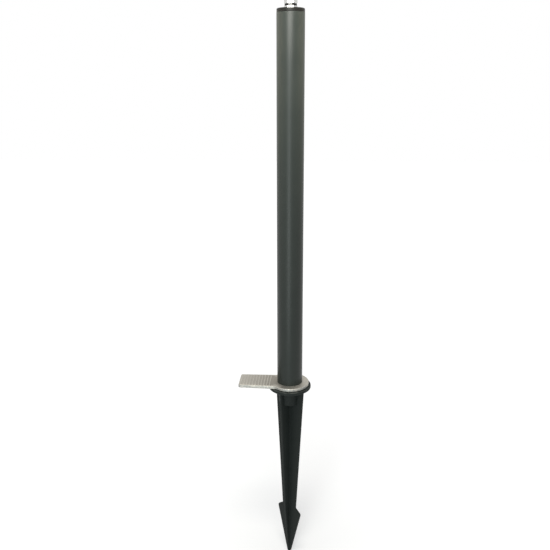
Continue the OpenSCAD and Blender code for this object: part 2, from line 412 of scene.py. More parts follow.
# %% Insert
KNURLS = 36
KNURL_STEPS = 5
KNURL_DEPTH = 0.35 * MM
KNURL_LEAD = 30 * MM
INSERT_ARRIS = 0.5 * MM
INSERT_ROWS = 41


def knurled_insert():
    """At angle a and height z, the outside radius is the insert's own less the knurl's depth times
    |sin(k(a + z/lead))| times |sin(k(a - z/lead))|, with k half the number of knurls and z/lead in turns.
    Bore and ends are plain."""
    angles = full_turn(KNURLS * KNURL_STEPS)[:, None]
    wall = np.linspace(insert_low.z + INSERT_ARRIS, insert_high.z - INSERT_ARRIS, INSERT_ROWS)
    waves = [np.abs(np.sin(KNURLS / 2 * (angles + way * wall / KNURL_LEAD * TURN))) for way in (1, -1)]
    knurl = insert_high.x - KNURL_DEPTH * waves[0] * waves[1]
    shoulder = insert_high.x - INSERT_ARRIS
    ends = np.broadcast_to([NUT_BORE_R, shoulder], (len(angles), 2))
    radius = np.hstack([ends, knurl, ends[:, ::-1]])
    z = np.concatenate([[insert_low.z] * 2, wall, [insert_high.z] * 2])
    return spin(np.stack([radius, np.broadcast_to(z, radius.shape)], -1), angles[:, 0])


stand_for(make_piece("knurled_insert", knurled_insert()), "thread_insert")

# %% [markdown]
# ## The foot plate's shape
# The plate is a keyhole: a ring round the post and a tab for the foot, blended where they meet. It could
# be drawn as arcs and lines with their touching points worked out, but a distance function is shorter.
# It is negative inside, and joining two of them with a radius gives the blend.

# %% Shape of the foot plate
TAB_ROOT_W = 45 * MM
TAB_END_W = 42 * MM
TAB_CORNER_R = 3 * MM
TAB_BLEND_R = 3 * MM
plate_low, plate_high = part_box("foot_plate")
ring_r = plate_high.x
tab_reach = -plate_low.x


def round_join(a, b, r):
    """Union of two distances with a fillet: max(r, min(a, b)) less the length of (r - a, r - b)."""
    return np.maximum(r, np.minimum(a, b)) - np.hypot(np.maximum(r - a, 0), np.maximum(r - b, 0))


def round_meet(a, b, r):
    """Overlap of two distances with a rounded corner: the union's formula with the signs turned."""
    return -round_join(-a, -b, r)


def plate_distance(x, y):
    """Ring and tab: the tab is bounded by its two sides, which draw in, and by its straight end."""
    from_axis = np.hypot(x, y)
    along = np.clip((-x - ring_r) / (tab_reach - ring_r), 0, 1)
    half_width = (TAB_ROOT_W + (TAB_END_W - TAB_ROOT_W) * along) / 2
    tab = round_meet(np.abs(y) - half_width, -x - tab_reach, TAB_CORNER_R)
    return round_join(from_axis - ring_r, np.maximum(tab, x), TAB_BLEND_R)


print(f"foot plate: ring {ring_r / MM:.1f} mm and tab {tab_reach / MM:.1f} mm from the axis")

# %% [markdown]
# ## The foot plate's outline
# The outline is where the distance is zero. Many rays leave the axis at once, and each halves its own
# interval until it has found the zero. Points at even steps along the curve then make faces of one
# length, round the ring as well as along the tab.

# %% Outline of the foot plate
OUTLINE_RAYS = 4000
OUTLINE_STEPS = 520
HALVINGS = 40
INSIDE_SHARE = 0.8
OUTSIDE_SHARE = 1.2
SLOPE_STEP = 0.01 * MM


def trace_outline(distance, near, far):
    """On each ray, the interval from near to far keeps the half in which the distance changes its sign.
    The points are set at even steps along the curve, and the outward directions there are the slopes of
    the distance."""
    angles = full_turn(OUTLINE_RAYS)
    near, far = np.full(OUTLINE_RAYS, near), np.full(OUTLINE_RAYS, far)
    for _ in range(HALVINGS):
        middle = (near + far) / 2
        outside = distance(middle * np.cos(angles), middle * np.sin(angles)) > 0
        near, far = np.where(outside, near, middle), np.where(outside, middle, far)
    curve = np.stack([middle * np.cos(angles), middle * np.sin(angles)], -1)
    curve = np.vstack([curve, curve[:1]])
    length = np.append(0, np.cumsum(np.linalg.norm(np.diff(curve, axis=0), axis=1)))
    even = np.linspace(0, length[-1], OUTLINE_STEPS, endpoint=False)
    x, y = [np.interp(even, length, curve[:, axis]) for axis in (0, 1)]
    slope_x = distance(x + SLOPE_STEP, y) - distance(x - SLOPE_STEP, y)
    slope_y = distance(x, y + SLOPE_STEP) - distance(x, y - SLOPE_STEP)
    slope = np.stack([slope_x, slope_y], -1)
    return np.stack([x, y], -1), slope / np.linalg.norm(slope, axis=1, keepdims=True)


plate_line, plate_out = trace_outline(plate_distance, INSIDE_SHARE * ring_r, OUTSIDE_SHARE * tab_reach)
print("foot plate outline:", len(plate_line), "points")

# %% [markdown]
# ## The foot plate's tread
# Fine cross ribs on the tab keep a boot from slipping. Rays run from the plate's margin in to the bore,
# and each crosses a rib where x has that rib's value, so the ribs' sides stay straight and clean. Painted
# shade lies between the ribs, most of it near the post, and is marked as a hollow.

# %% Tread ribs
PLATE_BORE_R = 18.8 * MM
RIB_PITCH = 4.85 * MM
RIB_W = 2.6 * MM
RIB_H = 0.6 * MM
RIB_MARGIN = 2.5 * MM
RIB_FADE = 2 * MM
FLATTEST_RAY = 0.001
plate_top = plate_high.z - RIB_H
# Places across a rib and heights there, as shares of its width and height.
rib_shape = np.array([(0.5, 0), (0.42, 0.25), (0.28, 0.85), (0.12, 1)])
rib_shape = np.vstack([rib_shape, rib_shape[::-1] * (-1, 1)])
rib_x = np.arange(tab_reach - RIB_MARGIN - RIB_W / 2, ring_r, -RIB_PITCH)


def tread_ribs(ray, reach):
    """A rib line at x is crossed at |x| / cos(angle from the tab's line) on the ray, or at the margin if
    that is nearer, where the ribs fade out. The painted shade between the ribs grows from none at the tab's
    end to all at the bore."""
    rib_lines = (rib_x[:, None] + RIB_W * rib_shape[:, 0]).ravel()
    ridge = np.tile(rib_shape[:, 1], len(rib_x))
    crossing = rib_lines / np.maximum(-ray[:, :1], FLATTEST_RAY)
    room = np.clip((reach - crossing) / RIB_FADE, 0, 1)
    # Painted shade between the ribs, none at the tab's end and all at the bore.
    shade_near_post = (tab_reach - rib_lines) / (tab_reach - PLATE_BORE_R)
    ribs = ray[:, None] * np.minimum(crossing, reach)[..., None]
    return ribs, plate_top + RIB_H * (ridge * room), (ridge - 1) * room * shade_near_post


print("tread ribs:", len(rib_x))

# %% [markdown]
# ## The foot plate
# The plate is steel with soft edges, cast or pressed. Rings of points go up the rim along the outline,
# cross the tread and go down the bore, so that one grid, closed both ways, is the whole plate.

# %% Foot plate
PLATE_TOP_R = 1.0 * MM
PLATE_FOOT_R = 0.6 * MM
PLATE_BORE_BEVEL = 0.4 * MM
ROUND_STEPS = 7


def plate_rim():
    """The outline less an inset along its outward direction: a quarter round at the foot, then one at
    the top, then the flat margin. The marks are 1 on the cut face, where the plate gets painted shade, and
    go to 0 over both rounds."""
    angle = np.linspace(0, TURN / 4, ROUND_STEPS)
    rise, fall = np.sin(angle), np.cos(angle)
    inset = np.concatenate([PLATE_FOOT_R * (1 - rise), PLATE_TOP_R * (1 - fall), [RIB_MARGIN]])
    foot = plate_low.z + PLATE_FOOT_R * (1 - fall)
    height = np.concatenate([foot, plate_top - PLATE_TOP_R * (1 - rise), [plate_top]])
    rim = plate_line[:, None] - inset[:, None] * plate_out[:, None]
    return rim, height, np.concatenate([rise, fall, [0]])


def plate_bore(ray):
    """A bevel, the wall and a bevel, from the top down. On the tab's side, the painted shade on the upper
    edge is the squared cosine of the angle from the tab's line."""
    radius = PLATE_BORE_R + np.array([PLATE_BORE_BEVEL, 0, 0, PLATE_BORE_BEVEL])
    low, high = plate_low.z + PLATE_BORE_BEVEL, plate_top - PLATE_BORE_BEVEL
    shade_near_post = np.clip(-ray[:, :1], 0, 1) ** 2 * (1, 1, 0, 0)
    return ray[:, None] * radius[:, None], np.array([plate_top, high, low, plate_low.z]), -shade_near_post


def plate_surface():
    """Rim, tread and bore side by side: x and y, the height and the mark of every point."""
    rim = plate_rim()
    margin = rim[0][:, -1]
    reach = np.linalg.norm(margin, axis=1, keepdims=True)
    ray = margin / reach
    sheets = []
    for plan, height, mark in (rim, tread_ribs(ray, reach), plate_bore(ray)):
        spread = [np.broadcast_to(values, plan.shape[:2]) for values in (height, mark)]
        sheets.append(np.dstack([plan, *spread]))
    whole = np.concatenate(sheets, 1)
    return whole[..., :3], whole[..., 3]


stand_for(make_piece("tread_plate", *plate_surface()), "foot_plate")

# %% [markdown]
# ## The spike's hub
# Flange, boss and spigot are moulded in one with the fins. They are round, so one profile makes them: it
# runs from the foot of the boss out to the flange, up to the spigot's top and down into the hollow that
# keeps the walls even, round the core in its middle. The flange's upper edge has a radius and a painted
# highlight, which together make the light line under the plate.

# %% Spike, hub
SPIGOT_R = 18.7 * MM
SPIGOT_WALL = 2.7 * MM
SPIGOT_FLOOR = 6 * MM
CORE_R = 10 * MM
CORE_BORE_Z = 2 * MM
BOSS_R = 17.5 * MM
BOSS_LEN = 28 * MM
BOSS_WALL = 3 * MM
BOSS_ROOT_R = 18.5 * MM
BOSS_ROOT_LEN = 15 * MM
SOFT_MARK = 0.35
spike_low, spike_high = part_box("spike_body")
flange_r = spike_high.x
pocket_z = tube_low.z + SPIGOT_FLOOR
# Radius, height and corner radius, corner by corner.
hub_corners = [
    (0, -BOSS_LEN, 0),
    (BOSS_R, -BOSS_LEN, 1.5 * MM),
    (BOSS_R, -BOSS_ROOT_LEN, 0.5 * MM),
    (BOSS_ROOT_R, -BOSS_ROOT_LEN, 0.5 * MM),
    (BOSS_ROOT_R, 0, 1.0 * MM),
    (flange_r, 0, 1.2 * MM),
    (flange_r, plate_low.z, 2.4 * MM),
    (SPIGOT_R, plate_low.z, 0.1 * MM),
    (SPIGOT_R, spike_high.z, 1.2 * MM),
    (SPIGOT_R - SPIGOT_WALL, spike_high.z, 0.4 * MM),
    (SPIGOT_R - SPIGOT_WALL, pocket_z, 0.6 * MM),
    (BOSS_R - BOSS_WALL, pocket_z, 0.6 * MM),
    (BOSS_R - BOSS_WALL, insert_low.z, 1.0 * MM),
    (CORE_R, insert_low.z, 1.0 * MM),
    (CORE_R, spike_high.z, 0.4 * MM),
    (ROD_HOLE_R, spike_high.z, 0.4 * MM),
    (ROD_HOLE_R, CORE_BORE_Z, 0),
    (0, CORE_BORE_Z, 0),
]
hub_line, hub_marks = soften_rows(hub_corners)
# From the flange's lower face up the marks stay whole, so the flange's upper edge gets the pale edge tone,
# a painted highlight. Below it SOFT_MARK weakens them: the boss and fins get almost none of that tone and a
# lighter painted shade in their hollows.
hub_marks = np.where(hub_line[:, 1] < 0, SOFT_MARK, 1) * hub_marks
spike = make_piece("finned_spike", *lathe(hub_line, hub_marks), wrap_columns=False)

# %% [markdown]
# ## The spike's fins
# Two pairs of fins cross on the axis and taper to a blunt tip. The wide pair carries barbs, which keep the
# spike from being pulled out, and the plain pair is narrower. The cross-shaped section is lofted down the
# axis, so each pair first needs the curve of its outer edge: how far it reaches at every depth.

# %% Outer edges of the fins
FIN_SINK = 1 * MM
BARBED_TOP_R = 30.5 * MM
BARBED_NECK_R = 14.6 * MM
PLAIN_TOP_R = 24.3 * MM
PLAIN_NECK_R = 12 * MM
NECK_Z = -232 * MM
BARB_R = 26 * MM
BARB_Z = -240 * MM
TIP_R = 3.5 * MM
TIP_FLAT_R = 1.75 * MM
TIP_BEVEL = 2.5 * MM
FIN_EDGE_STEPS = 9
# Reach, height and corner radius, from the flange down.
tip = [(TIP_R, spike_low.z + TIP_BEVEL, 1.5 * MM), (TIP_FLAT_R, spike_low.z, 0)]
barb = [(BARBED_NECK_R, NECK_Z, 2.0 * MM), (BARB_R, BARB_Z, 3.2 * MM)]
barbed = [(BARBED_TOP_R, FIN_SINK, 0), *barb, *tip]
plain = [(PLAIN_TOP_R, FIN_SINK, 0), (PLAIN_NECK_R, NECK_Z, 6.0 * MM), *tip]


def reach_curve(corners):
    """Depths and reaches along one fin's outer edge, with its corners rounded."""
    line, _ = soften_rows(corners, FIN_EDGE_STEPS)
    return -line[:, 1], line[:, 0]


fin_edges = [reach_curve(corners) for corners in (barbed, plain)]
print("points along the fins' outer edges:", [len(depth) for depth, _ in fin_edges])

# %% [markdown]
# ## The crossed section
# At each depth the section has its own reaches and thickness, and twelve corners: two at each fin's end,
# which are rounded outwards, and one in each valley, which is rounded inwards. Two crossed plates could be
# joined instead, but lofting the whole cross keeps the valleys soft and the draft even.

# %% Spike, fins
FIN_TURN = math.radians(-39)
FIN_T = 4.5 * MM
FIN_DRAFT = 0.86
FIN_SLIMMING = 0.55
FIN_ARRIS = 1.0 * MM
FIN_VALLEY = 0.7 * MM
FIN_FLARE = 2.0 * MM
FIN_LEVELS = 60


def turn_plan(plan, angle):
    """The point (x, y) goes to (x cos a - y sin a, x sin a + y cos a)."""
    cosine, sine = math.cos(angle), math.sin(angle)
    return plan @ np.array([(cosine, sine), (-sine, cosine)])


def crossed_fins():
    """Corners of the cross lie at (reach, half thickness) of a fin's end or at (half thickness, half
    thickness) of a valley. Near the flange the thickness flares out on a quarter round, and near the tip
    it keeps to a share of the plain fins' reach."""
    even = np.linspace(0, -spike_low.z, FIN_LEVELS)
    flare_levels = np.linspace(0, FIN_FLARE, ROUND_STEPS)
    depth = np.unique(np.concatenate([fin_edges[0][0], fin_edges[1][0], flare_levels, even]))
    wide, slim = [np.interp(depth, *edge) for edge in fin_edges]
    flare = FIN_FLARE - np.sqrt(FIN_FLARE**2 - np.clip(FIN_FLARE - depth, 0, FIN_FLARE) ** 2)
    root = np.minimum(FIN_T / 2, FIN_SLIMMING * slim) + flare
    end = FIN_DRAFT * root
    x = np.stack([wide, wide, root, end, -end, -root, -wide, -wide, -root, -end, end, root], -1)
    y = np.stack([-end, end, root, slim, slim, root, end, -end, -root, -slim, -slim, -root], -1)
    outline, edge = soften(np.stack([x, y], -1), np.tile([FIN_ARRIS, FIN_ARRIS, FIN_VALLEY], 4))
    height = np.broadcast_to(-depth[:, None, None], (*edge.shape, 1))
    return np.concatenate([turn_plan(outline, FIN_TURN), height], -1), edge


fin_points, fin_marks = crossed_fins()
# Valley marks, weakened by SOFT_MARK, give painted shade between the fins.
fins = make_piece("fins", fin_points, SOFT_MARK * fin_marks, wrap_rows=False, lids=True)

# %% [markdown]
# ## Fusing with the marks kept
# Hub and fins are one moulding, so Boolean unions fuse them and leave no faces inside the solid. A
# Boolean mixes up the edge marks of the pieces it joins, so each point gets its mark back by its place.

# %% Boolean helpers
PLACE_BITS = 21


def places_and_marks(piece):
    """Points of a piece as one array, and their edge marks."""
    mesh = piece.data
    places = np.empty(3 * len(mesh.vertices), np.float32)
    marks = np.empty(len(mesh.vertices), np.float32)
    mesh.vertices.foreach_get("co", places)
    mesh.attributes["edge"].data.foreach_get("value", marks)
    return places.reshape(-1, 3), marks


def place_number(places):
    """One whole number for each place: x, y and z in steps of MERGE_GAP, each in bits of its own."""
    steps = np.round(places / MERGE_GAP).astype(np.int64)
    return steps @ np.array([1, 2**PLACE_BITS, 2 ** (2 * PLACE_BITS)])


def restore_marks(piece, places, marks):
    """Points that were there before get their old mark, and points on new cuts get 0."""
    known, first = np.unique(place_number(places), return_index=True)
    wanted = place_number(places_and_marks(piece)[0])
    found = np.minimum(np.searchsorted(known, wanted), len(known) - 1)
    kept = np.where(known[found] == wanted, marks[first[found]], 0)
    piece.data.attributes["edge"].data.foreach_set("value", kept.astype(np.float32))


def fuse(base, tools):
    """Applies each tool to the base with a Boolean modifier and keeps the evaluated mesh."""
    before = [places_and_marks(piece) for piece in [base, *[tool for tool, _ in tools]]]
    for tool, operation in tools:
        step = base.modifiers.new(operation.lower(), "BOOLEAN")
        step.operation = operation
        step.solver = "EXACT"
        step.object = tool
    graph = bpy.context.evaluated_depsgraph_get()
    base.data = bpy.data.meshes.new_from_object(base.evaluated_get(graph))
    base.modifiers.clear()
    for tool, _ in tools:
        bpy.data.objects.remove(tool)
    restore_marks(base, *[np.concatenate(column) for column in zip(*before)])
    close_seams(base.data)


# %% [markdown]
# ## One moulding
# Four webs stand in the hub's hollow in line with the fins, each lofted from a small rectangle. They are
# fused with hub and fins. At the end one cut opens the seat of the brass insert, which the fins would
# otherwise fill.

# %% Fuse the spike
WEB_T = 3 * MM
WEB_BITE = 0.6 * MM
SEAT_GAP = 0.05 * MM
SEAT_TOP = 6 * MM


def web(quarter):
    """Plate from the core to the spigot's wall, a quarter turn on for each number."""
    inner, outer = CORE_R - WEB_BITE, SPIGOT_R - SPIGOT_WALL + WEB_BITE
    plan = np.array(band(inner, outer, -WEB_T / 2, WEB_T / 2))
    plan = turn_plan(plan, FIN_TURN + quarter * TURN / 4)
    levels = (-WEB_BITE, spike_high.z - WEB_BITE)
    return np.stack([np.column_stack([plan, np.full(len(plan), z)]) for z in levels])


webs = [make_piece(f"web_{quarter}", web(quarter), wrap_rows=False, lids=True) for quarter in range(4)]
seat_r = insert_high.x + SEAT_GAP
bore_r = ROD_HOLE_R - SEAT_GAP
seat = [(0, insert_low.z), (seat_r, insert_low.z), (seat_r, insert_high.z)]
seat += [(bore_r, insert_high.z), (bore_r, SEAT_TOP), (0, SEAT_TOP)]
drill = make_piece("drill", *lathe(np.array(seat), 0.0), wrap_columns=False)
fuse(spike, [(tool, "UNION") for tool in [fins, *webs]] + [(drill, "DIFFERENCE")])
stand_for(spike, "spike_body")
print("fused spike:", len(spike.data.polygons), "faces")

# %% [markdown]
# ## Finishes: small helpers
# A finish is a node tree. Building one in code is mostly adding nodes and linking them, so one helper
# adds a node, sets its properties and fills its inputs with values or links. Effects that several
# finishes share are node groups, built once.

# %% Node helpers


def add(tree, kind, inputs=None, **settings):
    """Adds a node; each named input gets a link if it is given a socket, and otherwise a value."""
    made = tree.nodes.new(kind)
    for key, value in settings.items():
        setattr(made, key, value)
    for key, value in (inputs or {}).items():
        if isinstance(value, bpy.types.NodeSocket):
            tree.links.new(value, made.inputs[key])
        else:
            made.inputs[key].default_value = value
    return made


def new_group(name, inputs, outputs):
    """Empty shader node group with float or vector sockets; returns it with its two end nodes."""
    group = bpy.data.node_groups.new(name, "ShaderNodeTree")
    for direction, sockets in (("INPUT", inputs), ("OUTPUT", outputs)):
        for socket, kind in sockets.items():
            group.interface.new_socket(socket, in_out=direction, socket_type=kind)
    return group, add(group, "NodeGroupInput"), add(group, "NodeGroupOutput")


# %% [markdown]
# ## Grain
# Powder coats and mould textures have a fine grain, and their tone drifts a little from place to place.
# An image could show both, but noise needs no unwrapping: a fine one for the height and a broad one for
# the clouds. Every finish uses it, so it is a node group.

# %% Grain
FLOAT = "NodeSocketFloat"
VECTOR = "NodeSocketVector"
FINE_DETAIL = 2
BROAD_DETAIL = 4
grain, given, result = new_group(
    "grain",
    {"Vector": VECTOR, "Fine": FLOAT, "Broad": FLOAT},
    {"Height": FLOAT, "Clouds": FLOAT},
)
for scale, detail, output in (("Fine", FINE_DETAIL, "Height"), ("Broad", BROAD_DETAIL, "Clouds")):
    inputs = {"Vector": given.outputs["Vector"], "Scale": given.outputs[scale], "Detail": detail}
    noise = add(grain, "ShaderNodeTexNoise", inputs)
    grain.links.new(noise.outputs["Fac"], result.inputs[output])
print("grain group:", len(grain.nodes), "nodes")

# %% [markdown]
# ## Wear and painted shade
# Handling rubs the arrises of the real post first, and never evenly. Wear could be painted by hand, but the
# meshes have marked their arrises already, so the mark times a patchy noise tells where a finish is worn.
# On the plate the same tone is painted shade, and on the spike's flange a painted highlight. Marks below
# zero tell the hollows, where the finishes get painted shade.

# %% Wear and painted shade
PATCH_DETAIL = 5
EDGE_TONE_START = 0.25
EDGE_TONE_FULL = 0.6
wear_and_shade, given, result = new_group(
    "wear_and_shade",
    {"Vector": VECTOR, "Edge": FLOAT, "Scale": FLOAT, "Amount": FLOAT},
    {"WearAndShading": FLOAT, "Hollow": FLOAT},
)
mark = given.outputs["Edge"]
inputs = {"Vector": given.outputs["Vector"], "Scale": given.outputs["Scale"], "Detail": PATCH_DETAIL}
patches = add(wear_and_shade, "ShaderNodeTexNoise", inputs).outputs["Fac"]
# Edge marks times patches: wear on most finishes, painted shade on the plate's cut edge and a painted
# highlight on the spike's flange.
patchy_edge_mark = add(wear_and_shade, "ShaderNodeMath", {0: mark, 1: patches}, operation="MULTIPLY").outputs[0]
inputs = {"Value": patchy_edge_mark, "From Min": EDGE_TONE_START, "From Max": EDGE_TONE_FULL}
spread = add(wear_and_shade, "ShaderNodeMapRange", inputs, interpolation_type="SMOOTHSTEP").outputs[0]
wear_and_shading = add(wear_and_shade, "ShaderNodeMath", {0: spread, 1: given.outputs["Amount"]}, operation="MULTIPLY")
# Marks below zero give the painted shade in the hollows.
hollow_shade_mask = add(wear_and_shade, "ShaderNodeMapRange", {"Value": mark, "From Min": 0.0, "From Max": -1.0})
wear_and_shade.links.new(wear_and_shading.outputs[0], result.inputs["WearAndShading"])
wear_and_shade.links.new(hollow_shade_mask.outputs[0], result.inputs["Hollow"])
print("wear group:", len(wear_and_shade.nodes), "nodes")

# %% [markdown]
# ## Brushing
# Fine grinding leaves lines along one direction. Noise on coordinates that are stretched far more across
# the lines than along them looks the same.

# %% Brushing
HAIR_DETAIL = 3.0
brushing, given, result = new_group("brushing", {"Vector": VECTOR, "Stretch": VECTOR}, {"Lines": FLOAT})
inputs = {0: given.outputs["Vector"], 1: given.outputs["Stretch"]}
pulled = add(brushing, "ShaderNodeVectorMath", inputs, operation="MULTIPLY").outputs[0]
hairs = add(brushing, "ShaderNodeTexNoise", {"Vector": pulled, "Scale": 1.0, "Detail": HAIR_DETAIL})
brushing.links.new(hairs.outputs["Fac"], result.inputs["Lines"])
print("brushing group:", len(brushing.nodes), "nodes")

# %% [markdown]
# ## Parts of a finish
# Three small jobs come back in every finish: a new material with its constant values set, a blend of two
# colours, and a spread of the clouds over a range. Each is a short function.

# %% Finish helpers
CLOUDS_LOW = 0.3
CLOUDS_HIGH = 0.7
MIX_FACTOR, MIX_FIRST, MIX_SECOND, MIX_RESULT = 0, 6, 7, 2


def new_finish(name, shader_values):
    """Material with its constant values set on the shader's own sockets."""
    material = bpy.data.materials.new(name)
    material.use_nodes = True
    shader = material.node_tree.nodes["Principled BSDF"]
    for socket, value in shader_values.items():
        shader.inputs[socket].default_value = value
    return material, material.node_tree, shader


def mix_colours(tree, factor, first, second):
    """First colour times one less the factor, plus second colour times the factor."""
    inputs = {MIX_FACTOR: factor, MIX_FIRST: first, MIX_SECOND: second}
    return add(tree, "ShaderNodeMix", inputs, data_type="RGBA").outputs[MIX_RESULT]


def spread_clouds(tree, clouds, low, high):
    """Clouds from CLOUDS_LOW to CLOUDS_HIGH, spread in a straight line from low to high."""
    inputs = {"Value": clouds, "From Min": CLOUDS_LOW, "From Max": CLOUDS_HIGH}
    inputs |= {"To Min": low, "To Max": high}
    return add(tree, "ShaderNodeMapRange", inputs).outputs[0]


# %% [markdown]
# ## Assemble a finish
# All the finishes have the same skeleton: a colour that drifts between two tones, darkens with painted
# shade in the hollows and changes on the arrises, with wear on most finishes, painted shade on the plate
# and a painted highlight on the spike, a roughness that follows the clouds, and a bump from the grain. A
# function wires that up, and each finish gives its own tones, scales and shader values.

# %% Finish skeleton
PATCH_FINENESS = 4
BUMP_DISTANCE = 0.1 * MM


def finish(
    name, tones, wear_and_shading, hollow_shade, fine, broad, roughness, bump, wear_and_shading_amount, shader_values, stretch=None
):
    """Colour: the two tones mixed by the clouds, then the hollow tone, which paints shade in the hollows,
    and the edge tone on the arrises, which is wear on most finishes, painted shade on the plate and a
    painted highlight on the spike's flange. Roughness: the clouds spread over its range. Normal: a bump of
    the fine grain, or of brushed lines where a stretch is given."""
    material, tree, shader = new_finish(name, shader_values)
    first, second, wear_and_shading, hollow_shade = [(*colour, 1) for colour in (*tones, wear_and_shading, hollow_shade)]
    place = add(tree, "ShaderNodeTexCoord").outputs["Object"]
    marks = add(tree, "ShaderNodeAttribute", attribute_name="edge").outputs["Fac"]
    inputs = {"Vector": place, "Fine": fine, "Broad": broad}
    texture = add(tree, "ShaderNodeGroup", inputs, node_tree=grain)
    inputs = {"Vector": place, "Edge": marks, "Scale": broad * PATCH_FINENESS, "Amount": wear_and_shading_amount}
    wear_and_shade_node = add(tree, "ShaderNodeGroup", inputs, node_tree=wear_and_shade)
    clouds = texture.outputs["Clouds"]
    colour = mix_colours(tree, spread_clouds(tree, clouds, 0, 1), first, second)
    # The hollow tone paints shade in the hollows; the edge tone is wear on most finishes, painted shade on
    # the plate and a painted highlight on the spike's flange.
    colour = mix_colours(tree, wear_and_shade_node.outputs["Hollow"], colour, hollow_shade)
    colour = mix_colours(tree, wear_and_shade_node.outputs["WearAndShading"], colour, wear_and_shading)
    height = texture.outputs["Height"]
    if stretch:
        inputs = {"Vector": place, "Stretch": stretch}
        height = add(tree, "ShaderNodeGroup", inputs, node_tree=brushing).outputs["Lines"]
    relief = add(tree, "ShaderNodeBump", {"Height": height, "Strength": bump, "Distance": BUMP_DISTANCE})
    tree.links.new(colour, shader.inputs["Base Color"])
    tree.links.new(spread_clouds(tree, clouds, *roughness), shader.inputs["Roughness"])
    tree.links.new(relief.outputs[0], shader.inputs["Normal"])
    return material


# %% [markdown]
# ## Coat and plastics
# The tube has a fine anthracite powder coat, satin and a little greenish. Cap and spike are black filled
# plastic with a mould grain, the cap a little glossier. Their colours are linear values, as light adds up,
# so these dark tones are small numbers.

# %% Coat and plastics
finishes = {
    "post_coat": finish(
        "anthracite_coat",
        tones=((0.0188, 0.0232, 0.0210), (0.0216, 0.0262, 0.0237)),
        wear_and_shading=(0.06, 0.065, 0.06),
        hollow_shade=(0.012, 0.0145, 0.013),
        fine=1400, broad=25, roughness=(0.34, 0.38), bump=0.2, wear_and_shading_amount=0.5,
        shader_values={"Specular IOR Level": 0.20},
    ),
    "cap_plastic": finish(
        "cap_black",
        tones=((0.0058, 0.0060, 0.0055), (0.0076, 0.0078, 0.0072)),
        wear_and_shading=(0.013, 0.013, 0.012),
        hollow_shade=(0.003, 0.003, 0.003),
        fine=1800, broad=60, roughness=(0.36, 0.42), bump=0.2, wear_and_shading_amount=0.4,
        shader_values={"Specular IOR Level": 0.135},
    ),
    "spike_plastic": finish(
        "spike_black",
        tones=((0.0109, 0.0142, 0.0131), (0.0124, 0.0158, 0.0147)),
        # This pale edge tone paints a highlight on the flange's upper edge.
        wear_and_shading=(0.070, 0.074, 0.068),
        # This hollow tone paints shade in the fins' valleys and the hub's inner corners.
        hollow_shade=(0.006, 0.007, 0.007),
        fine=1600, broad=40, roughness=(0.53, 0.57), bump=0.3, wear_and_shading_amount=0.8,
        shader_values={"Specular IOR Level": 0.13},
    ),
}
print("coat and plastics:", list(finishes))

# %% [markdown]
# ## Metals
# The plate is brushed stainless steel with a warm tone, with painted shade on its cut edge, in the rib
# grooves and on the ring next to the post. Nuts, flat washers and rod are bright zinc, the split washer is
# dark spring steel, and the insert is turned brass. A metal's colour is its reflection, so the tones of
# bright metals are large numbers.

# %% Metals
finishes |= {
    "plate_steel": finish(
        "brushed_plate",
        tones=((0.425, 0.405, 0.358), (0.475, 0.452, 0.402)),
        # This edge tone is darker than the plate: painted shade on its cut edge.
        wear_and_shading=(0.25, 0.256, 0.248),
        # This hollow tone paints shade in the rib grooves and on the ring next to the post.
        hollow_shade=(0.26, 0.24, 0.205),
        fine=900, broad=70, roughness=(0.50, 0.60), bump=0.25, wear_and_shading_amount=0.85,
        shader_values={"Metallic": 1.0}, stretch=(60, 1800, 1800),
    ),
    "zinc_hardware": finish(
        "bright_zinc",
        tones=((0.56, 0.56, 0.54), (0.64, 0.64, 0.62)),
        wear_and_shading=(0.72, 0.72, 0.71),
        hollow_shade=(0.34, 0.33, 0.31),
        fine=1500, broad=200, roughness=(0.18, 0.26), bump=0.1, wear_and_shading_amount=0.8,
        shader_values={"Metallic": 1.0},
    ),
    "spring_steel": finish(
        "dark_spring_steel",
        tones=((0.030, 0.030, 0.030), (0.045, 0.045, 0.044)),
        wear_and_shading=(0.09, 0.09, 0.09),
        hollow_shade=(0.016, 0.016, 0.016),
        fine=1500, broad=200, roughness=(0.5, 0.6), bump=0.1, wear_and_shading_amount=0.8,
        shader_values={"Metallic": 1.0},
    ),
    "insert_brass": finish(
        "turned_brass",
        tones=((0.62, 0.45, 0.18), (0.72, 0.54, 0.24)),
        wear_and_shading=(0.82, 0.66, 0.36),
        hollow_shade=(0.35, 0.24, 0.10),
        fine=1200, broad=150, roughness=(0.25, 0.35), bump=0.1, wear_and_shading_amount=0.8,
        shader_values={"Metallic": 1.0},
    ),
}
print("all finishes:", list(finishes))

# %% [markdown]
# ## Put the finishes on
# Every piece has taken over the material slot of the part it stands for, and the slot names its finish.

# %% Put the finishes on
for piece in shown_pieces():
    piece.data.materials.clear()
    piece.data.materials.append(finishes[piece["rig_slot"]])

# %% [markdown]
# ## Floor
# The post is shown on a plain pale floor in a white room, with the spike's tip on the floor. One large
# face is enough.

# %% Floor
FLOOR_SIZE = 12.0
half = FLOOR_SIZE / 2
ground = spike_low.z
corners = [(x * half, y * half, ground) for x, y in ((-1, -1), (1, -1), (1, 1), (-1, 1))]
floor_mesh = bpy.data.meshes.new("floor")
floor_mesh.from_pydata(corners, [], [(0, 1, 2, 3)])
floor = bpy.data.objects.new("floor", floor_mesh)
bpy.context.scene.collection.objects.link(floor)
print(f"floor: {FLOOR_SIZE} m wide at height {ground / MM:.1f} mm")

# %% [markdown]
# ## The floor's own light
# The floor is lit like everything else, and some light of its own, seen only by the camera and in
# reflections, brings it up to white. More lamp light would do that too, but it would bleach the object.
# The floor's light is weaker near the post, so that the post's shadow still shows there.

# %% Floor paint
FLOOR_TONE = 0.7
FLOOR_ROUGHNESS = 0.9
FLOOR_GLOW = 0.86
GLOW_DIP = 0.39
GLOW_REACH = 0.5
WHITE = (1, 1, 1, 1)


